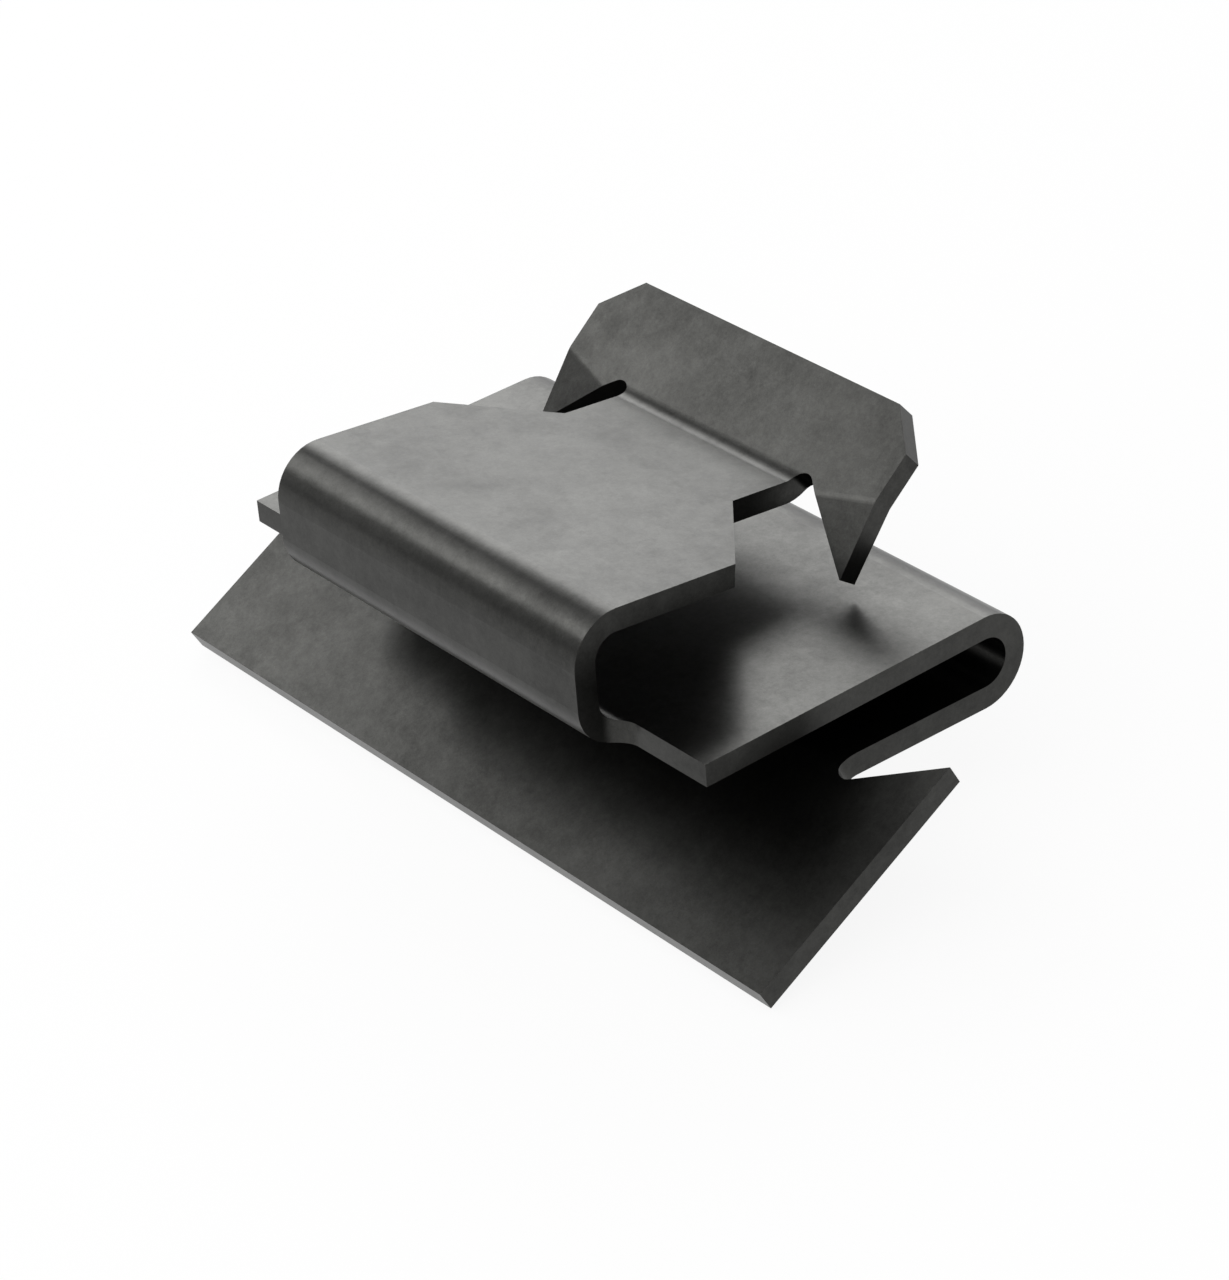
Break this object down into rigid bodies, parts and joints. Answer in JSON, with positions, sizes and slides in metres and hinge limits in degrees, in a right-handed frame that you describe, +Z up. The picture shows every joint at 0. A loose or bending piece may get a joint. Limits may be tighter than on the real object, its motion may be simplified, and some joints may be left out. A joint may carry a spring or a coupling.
{
  "type": "panel clip",
  "caption": "Folded spring-steel clip that joins panel edges: an S-shaped strip with opposed slots and flared lips with sharp barbs.",
  "frame": {"origin": "centre of the lower slot's mouth: at the middle plate's front edge, midway between the middle plate and the level of the U bend's lower side, on the centre line", "axes": "+X into the lower slot, towards the U bend; +Y across the sheet; +Z up, square to the middle plate"},
  "size_m": [0.0132, 0.026, 0.0103],
  "materials": {
    "spring_steel": "dark phosphated, satin"
  },
  "bodies": {
    "root": {"panel_clip": "spring_steel"}
  },
  "joints": []
}
